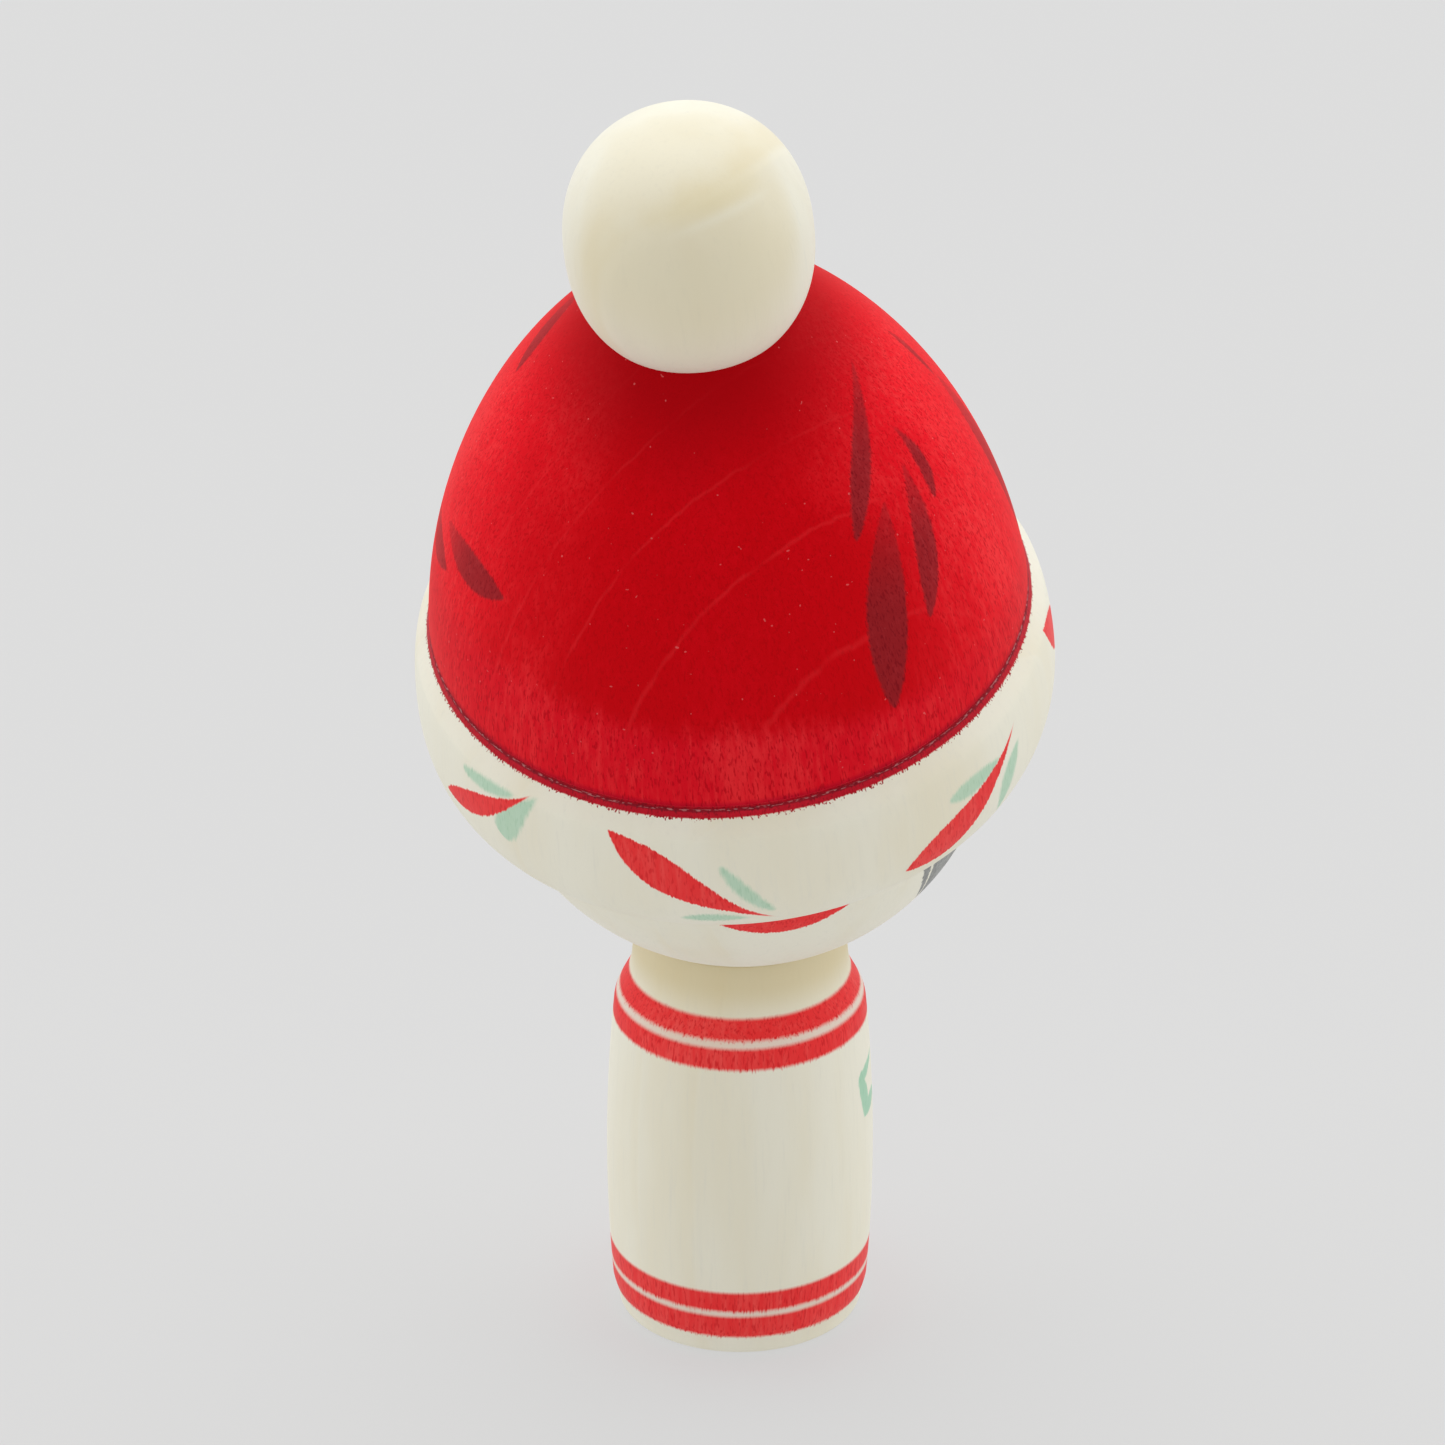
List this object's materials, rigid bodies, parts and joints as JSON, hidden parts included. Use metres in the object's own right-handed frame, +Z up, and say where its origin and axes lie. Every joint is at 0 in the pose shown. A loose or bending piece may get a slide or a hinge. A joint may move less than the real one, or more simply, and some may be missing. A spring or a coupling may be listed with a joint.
{
  "type": "kokeshi doll",
  "caption": "Turned wooden kokeshi doll with a slim barrel body, a round head that turns in the neck, and a lift-off domed bobble hat worn tilted back.",
  "frame": {"origin": "centre of the flat base, on the axis of the body", "axes": "+Z up along the body, -Y the way the painted face looks, +X the doll's left; the hat leans back towards +Y"},
  "size_m": [0.0568, 0.0566, 0.1259],
  "materials": {
    "body_wood": "pale waxed wood with red dye rings and painted flowers",
    "head_wood": "pale waxed wood with a painted face and hair",
    "hat_wood": "red dyed dome over a bare waxed brim with painted leaves",
    "bobble_wood": "bare pale waxed wood",
    "dowel_wood": "plain unfinished wood"
  },
  "bodies": {
    "body": {"body": "body_wood"},
    "head": {"head": "head_wood"},
    "hat": {"hat": "hat_wood", "bobble": "bobble_wood", "bobble_dowel": "dowel_wood"}
  },
  "joints": [
    {"name": "head_turn", "type": "hinge", "parent": "body", "child": "head", "pos_m": [0, 0, 0.06014], "axis": [0, 0, 1], "continuous": true},
    {"name": "hat_lift", "type": "slide", "parent": "head", "child": "hat", "axis": [0, 0.279, 0.9603], "range_m": [0, 0.04]}
  ]
}
